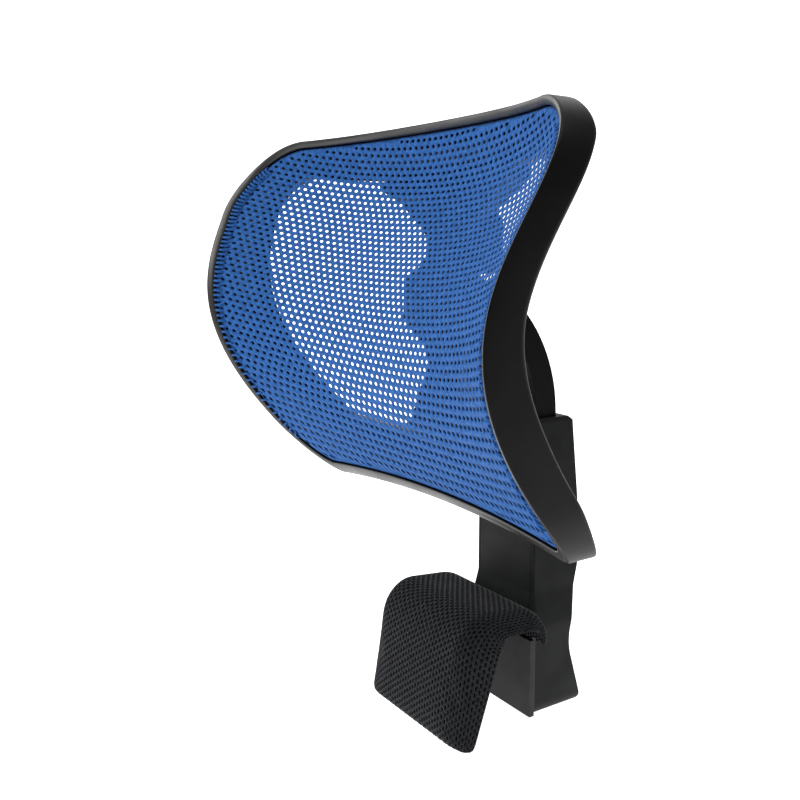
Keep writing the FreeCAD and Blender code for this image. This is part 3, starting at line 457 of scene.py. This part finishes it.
# The knit's outermost loops bulge a little before they dive into the rim's groove.
LOOP_PATH = ((9.4, 0.9), (7.8, 0.1), (6.4, -0.35), (5.2, -0.1), (4.5, 0.9), (4.2, 2.6))
LOOP_SPACING, LOOP_RADIUS, LOOP_SIDES = 2.8, 0.5, 6
loop_line = even(rim_outline, LOOP_SPACING)
loop_normal = outward(loop_line)
beside = abs(loop_normal[:, 0]) > 0.75
loop_line, loop_normal = loop_line[beside], loop_normal[beside]
loop_along = np.stack([-loop_normal[:, 1], loop_normal[:, 0]], -1)


def loop_station(inset, depth):
    """Where every loop's thread is at an inset from the outline, and the direction along the edge there."""
    spot = loop_line - loop_normal * inset
    ahead = saddle(*(spot + 0.5 * loop_along).T, depth) - saddle(*(spot - 0.5 * loop_along).T, depth)
    return saddle(*spot.T, depth), ahead / np.linalg.norm(ahead, axis=1)[:, None]


stations = [loop_station(*at) for at in LOOP_PATH]
threads = np.stack([place for place, _ in stations], 1)
sideways = np.stack([ahead for _, ahead in stations], 1)
lifts = np.cross(np.gradient(threads, axis=1), sideways)
lifts /= np.linalg.norm(lifts, axis=2)[..., None]
turns = np.arange(LOOP_SIDES) * 2 * math.pi / LOOP_SIDES
loops = threads[:, :, None] + LOOP_RADIUS * MM * (
    np.cos(turns)[:, None] * sideways[:, :, None] * 1.5 + np.sin(turns)[:, None] * lifts[:, :, None])
per_loop = len(LOOP_PATH) * LOOP_SIDES
loop_faces = []
for first in range(0, len(loop_line) * per_loop, per_loop):
    loop_faces += tube_faces(len(LOOP_PATH), LOOP_SIDES, first)
    last = first + per_loop - 1
    loop_faces += [range(first, first + LOOP_SIDES), range(last, last - LOOP_SIDES, -1)]
edge_loops = piece("edge_loops", loops.reshape(-1, 3), loop_faces, blue_yarn)
outward_faces(edge_loops)
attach(edge_loops, "headrest")

# ---------------------------------------------------------------- the hook's padded sleeve
SLEEVE_HALF = 43.0
END_ROUND = 12.0
TIP_ROUND = 7.0


def rounded_path(corners, step=0.5):
    """An open line through corners given as (y, z, radius), with each corner rounded, in even steps."""
    spots = [np.array(corner[:2], float) for corner in corners]
    path = [spots[0]]
    for before, spot, after, corner in zip(spots, spots[1:], spots[2:], corners[1:-1]):
        a, b = before - spot, after - spot
        a, b = a / np.linalg.norm(a), b / np.linalg.norm(b)
        half = math.acos(np.clip(a @ b, -1, 1)) / 2
        tangent = corner[2] / math.tan(half)
        centre = spot + (a + b) / np.linalg.norm(a + b) * corner[2] / math.sin(half)
        first, last = spot + a * tangent - centre, spot + b * tangent - centre
        sweep = math.pi - 2 * half
        turns = np.linspace(0, 1, 24)[:, None]
        turned = first * np.sin((1 - turns) * sweep) + last * np.sin(turns * sweep)
        path += list(centre + turned / math.sin(sweep))
    path = np.array(path + [spots[-1]])
    along = np.concatenate([[0], np.cumsum(np.linalg.norm(np.diff(path, axis=0), axis=1))])
    at = np.linspace(0, along[-1], round(along[-1] / step))
    return np.stack([np.interp(at, along, path[:, k]) for k in range(2)], -1), along[-1]


sleeve_outer, OUTER_LENGTH = rounded_path([
    (-38.5, -54, 0), (-44, -54, 5.2), (-36, 12, 20), (20.9, 7, 16), (20.9, -9, 0)])
sleeve_inner, _ = rounded_path([
    (-38.5, -54, 0), (-33, -54, 4), (-13, 0, 3), (13, 0, 8), (13, -9, 0)])
# Shares of the way round the outside and the inside that lie opposite each other.
OPPOSITE = ((0, 0.42, 0.52, 0.60, 0.68, 0.88, 1), (0, 0.56, 0.62, 0.66, 0.71, 0.91, 1))


def along_path(path, share):
    """Points at shares of an evenly stepped path's length."""
    at = np.asarray(share) * (len(path) - 1)
    return np.stack([np.interp(at, np.arange(len(path)), path[:, k]) for k in range(2)], -1)


FLAT = SLEEVE_HALF - END_ROUND
SLEEVE_DEEP = 20
LID = 0.5 * math.pi * math.sqrt((END_ROUND**2 + SLEEVE_DEEP**2) / 2)
GIRTH = np.cumsum([0, 2 * FLAT, LID, 2 * SLEEVE_HALF, LID])


def sleeve_point(share, girth):
    """The padded hook's surface: share runs from the flap's tip over the top, girth (mm) runs round it."""
    share, girth = np.broadcast_arrays(np.asarray(share, float), np.asarray(girth, float) % GIRTH[-1])
    turn_right = np.clip((girth - GIRTH[1]) / LID, 0, 1) * math.pi / 2
    turn_left = np.clip((girth - GIRTH[3]) / LID, 0, 1) * math.pi / 2
    on_left = girth > GIRTH[3]
    x = np.where(on_left, -FLAT - END_ROUND * np.cos(turn_left),
                 np.where(girth > GIRTH[2], SLEEVE_HALF - (girth - GIRTH[2]),
                          np.where(girth > GIRTH[1], FLAT + END_ROUND * np.sin(turn_right), girth - FLAT)))
    depth = np.where(on_left, 1 - np.sin(turn_left), 1 - np.cos(turn_right))
    tip = np.clip(1 - share * OUTER_LENGTH / TIP_ROUND, 0, 1)
    x = x * (1 - TIP_ROUND / SLEEVE_HALF * (1 - np.sqrt(1 - tip**2)))
    outer = along_path(sleeve_outer, share)
    inner = along_path(sleeve_inner, np.interp(share, *OPPOSITE))
    across = outer + (inner - outer) * depth[..., None]
    return np.stack([x, across[..., 0], across[..., 1]], -1) * MM


ROWS, COLUMNS = 46, 96
shares = np.linspace(0.004, 1, ROWS)
girths = np.arange(COLUMNS) * GIRTH[-1] / COLUMNS
grid = sleeve_point(shares[:, None], girths[None, :])


def capped_tube(name, grid, material):
    """A closed mesh from a tube grid, its two open ends filled."""
    rows, columns = grid.shape[:2]
    made = piece(name, grid.reshape(-1, 3), tube_faces(rows, columns), material)
    shape = bmesh.new()
    shape.from_mesh(made.data)
    shape.verts.ensure_lookup_table()
    loops = [[shape.verts[row * columns + j] for j in range(columns)] for row in (0, rows - 1)]
    for loop in loops:
        shape.faces.new(loop)
    bmesh.ops.triangulate(shape, faces=[face for face in shape.faces if len(face.verts) > 4])
    bmesh.ops.recalc_face_normals(shape, faces=shape.faces)
    shape.to_mesh(made.data)
    shape.free()
    return made


PRESSURE, LAST_FRAME = 4, 20


def puffed(made, held_points, cap):
    """Blow a closed skin up with cloth simulation; held points stay, and no point moves more than the cap."""
    start = np.array([v.co[:] for v in made.data.vertices])
    group = made.vertex_groups.new(name="held")
    for index, weight in enumerate(held_points):
        if weight > 0:
            group.add([index], float(weight), "REPLACE")
    cloth_skin = made.modifiers.new("skin", "CLOTH")
    cloth_skin.settings.use_pressure = True
    cloth_skin.settings.uniform_pressure_force = PRESSURE
    cloth_skin.settings.vertex_group_mass = "held"
    cloth_skin.settings.effector_weights.gravity = 0
    cloth_skin.settings.quality = 6
    cloth_skin.point_cache.frame_start, cloth_skin.point_cache.frame_end = 1, LAST_FRAME
    for number in range(1, LAST_FRAME + 1):
        scene.frame_set(number)
    settled = made.evaluated_get(bpy.context.evaluated_depsgraph_get()).data
    end = np.array([v.co[:] for v in settled.vertices])
    made.modifiers.remove(cloth_skin)
    scene.frame_set(1)
    moved = end - start
    far = np.linalg.norm(moved, axis=1)[:, None]
    return start + moved * np.minimum(1, cap / np.maximum(far, 1e-9))


MOST_SWELL = 3.2
dummy = capped_tube("sleeve_skin", grid, dark_core)
held_from, held_to = GIRTH[1] + 0.55 * LID, GIRTH[3] + 0.45 * LID
round_girth = [0, held_from, held_from + 0.25 * LID, held_to - 0.25 * LID, held_to, GIRTH[4]]
on_outside = np.interp(girths, round_girth, [0, 0, 1, 1, 0, 0])
near_rail = np.interp(shares, [0, 0.05, 0.60, 0.72, 1], [0.6, 0, 0, 1, 1])
held = np.maximum(on_outside[None, :], near_rail[:, None])
swollen = puffed(dummy, held.reshape(-1), MOST_SWELL * MM)
grid = swollen[:ROWS * COLUMNS].reshape(ROWS, COLUMNS, 3)
bpy.data.objects.remove(dummy)


def grid_normals(grid):
    """Outward unit normals of a tube grid."""
    along = np.gradient(grid, axis=0)
    around = np.roll(grid, -1, axis=1) - np.roll(grid, 1, axis=1)
    normal = np.cross(around, along)
    return normal / np.maximum(np.linalg.norm(normal, axis=2), 1e-12)[..., None]


normals = grid_normals(grid)
middle = grid.mean(axis=1, keepdims=True)
if ((grid - middle) * normals).sum() < 0:
    normals = -normals


def on_grid(values, row, column):
    """Values of the tube grid between its points: row from 0 to ROWS - 1, column round and round."""
    row = np.clip(row, 0, ROWS - 1.0001)
    i, j = np.floor(row).astype(int), np.floor(column).astype(int)
    a, b = (row - i)[:, None], (column - j)[:, None]
    j, k = j % COLUMNS, (j + 1) % COLUMNS
    return ((1 - a) * (1 - b) * values[i, j] + a * (1 - b) * values[i + 1, j]
            + (1 - a) * b * values[i, k] + a * b * values[i + 1, k])


YARN_ROWS, YARN_COLUMNS = 36, 88
cell_long, cell_wide = (ROWS - 1) / YARN_ROWS, COLUMNS / YARN_COLUMNS
knit_cells = np.array([(cell_long * (i + 0.5 * (j % 2)), cell_wide * j)
                       for j in range(YARN_COLUMNS) for i in range(YARN_ROWS + (j % 2 == 0))
                       if 0.4 * cell_long < cell_long * (i + 0.5 * (j % 2)) < ROWS - 1 - 0.4 * cell_long])
knit, knit_quads, knit_holes = net_mesh(knit_cells, cell_long, cell_wide, 0.72 * cell_long, 0.58 * cell_wide,
                                        wrap=COLUMNS)
surface = on_grid(grid, *knit.T)
lift = on_grid(normals, *knit.T)
lift /= np.linalg.norm(lift, axis=1)[:, None]


def above_tip(points):
    """Points kept above the flap's lower edge, where the skin's normals cross."""
    points[..., 2] = np.maximum(points[..., 2], grid[..., 2].min())
    return points


KNIT_THICK, HOLE_SUNK, CORE_INSET = 1.25, 0.35, 1.3
sunk = np.zeros(len(knit))
sunk[knit_holes] = HOLE_SUNK
knit_front = above_tip(surface - lift * sunk[:, None] * MM)
knit_back = above_tip(surface - lift * (KNIT_THICK - 0.6 * sunk)[:, None] * MM)
sleeve = piece("hook_sleeve_net", *thicken(knit_front, knit_back, knit_quads), black_yarn)
outward_faces(sleeve)
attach(sleeve, "bracket")
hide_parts("hook_sleeve")

core = capped_tube("hook_core", above_tip(grid - normals * CORE_INSET * MM), dark_core)
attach(core, "bracket")
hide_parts("hook_foam")

# ---------------------------------------------------------------- floor and light
FLOOR_GAP = 12
FLOOR_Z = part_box("upright_channel")[0].z - FLOOR_GAP * MM


def white_sweep(name, corner_y, radius, depth, half, height):
    """A photographer's paper sweep: floor, curve and wall in one sheet."""
    turns = np.linspace(0, math.pi / 2, 16)
    side = [(-depth, 0.0)] + [(corner_y + radius * math.sin(t), radius * (1 - math.cos(t))) for t in turns]
    side.append((corner_y + radius, height))
    points = [(x, y, FLOOR_Z + z) for y, z in side for x in (-half, half)]
    faces = [(2 * i, 2 * i + 1, 2 * i + 3, 2 * i + 2) for i in range(len(side) - 1)]
    return piece(name, points, faces, sweep_paper)


def ranged(tree, value, start, end, low, high, kind="LINEAR"):
    """A value taken from the range start..end to the range low..high."""
    step = add(tree, "ShaderNodeMapRange", interpolation_type=kind,
               **{"From Min": start, "From Max": end, "To Min": low, "To Max": high})
    tree.links.new(value, step.inputs["Value"])
    return step.outputs["Result"]


def fading(tree, value, start, end):
    """1 up to a start value and 0 from an end value, with a smooth step between."""
    return ranged(tree, value, start, end, 1, 0, "SMOOTHSTEP")


# The paper glows behind the part and is dimmer in front of it and on its right, so the black sides stay dark.
sweep_paper, sweep_tree, sweep_shader = new_material("sweep_paper")
sweep_shader.inputs["Roughness"].default_value = 0.95
sweep_shader.inputs["Specular IOR Level"].default_value = 0.1
sweep_shader.inputs["Emission Color"].default_value = (1, 1, 1, 1)
sweep_place = add(sweep_tree, "ShaderNodeTexCoord")
sweep_axes = add(sweep_tree, "ShaderNodeSeparateXYZ")
sweep_tree.links.new(sweep_place.outputs["Object"], sweep_axes.inputs["Vector"])
aside = add(sweep_tree, "ShaderNodeMath", operation="MULTIPLY_ADD")
aside.inputs[1].default_value = -0.45
sweep_tree.links.new(sweep_axes.outputs["Y"], aside.inputs[0])
sweep_tree.links.new(sweep_axes.outputs["X"], aside.inputs[2])
lit = add(sweep_tree, "ShaderNodeMath", operation="MULTIPLY")
sweep_tree.links.new(fading(sweep_tree, aside.outputs["Value"], 0.22, 0.85), lit.inputs[0])
sweep_tree.links.new(fading(sweep_tree, sweep_axes.outputs["Y"], -0.10, -0.6), lit.inputs[1])
for socket, low, high in (("Emission Strength", 0.12, 0.95), ("Base Color", 0.5, 0.93)):
    strength = ranged(sweep_tree, lit.outputs["Value"], 0, 1, low, high)
    sweep_tree.links.new(strength, sweep_shader.inputs[socket])
sweep = white_sweep("floor", 1.0, 0.9, 4.0, 4.0, 4.0)
sweep.rotation_euler.z = AZIMUTH

world = bpy.data.worlds.new("world")
scene.world = world
world.use_nodes = True
world.node_tree.nodes["Background"].inputs["Color"].default_value = (1, 1, 1, 1)
world.node_tree.nodes["Background"].inputs["Strength"].default_value = 0.35


def area_light(name, place, target, size, power):
    """A soft rectangular lamp turned to a target."""
    data = bpy.data.lights.new(name, "AREA")
    data.shape = "RECTANGLE"
    data.size, data.size_y = size
    data.energy = power
    light = bpy.data.objects.new(name, data)
    scene.collection.objects.link(light)
    light.location = place
    light.rotation_euler = (Vector(target) - Vector(place)).to_track_quat("-Z", "Y").to_euler()
    return light


area_light("key", (0.0, -1.25, 1.15), (0, -0.03, 0.15), (0.9, 0.7), 18.5)
area_light("fill", (-1.3, -0.9, 0.5), (0, -0.03, 0.12), (0.8, 0.8), 4)
area_light("edge", (0.45, 0.25, 1.8), (0, 0, 0.15), (0.6, 0.6), 7)

scene.view_settings.view_transform = "Standard"
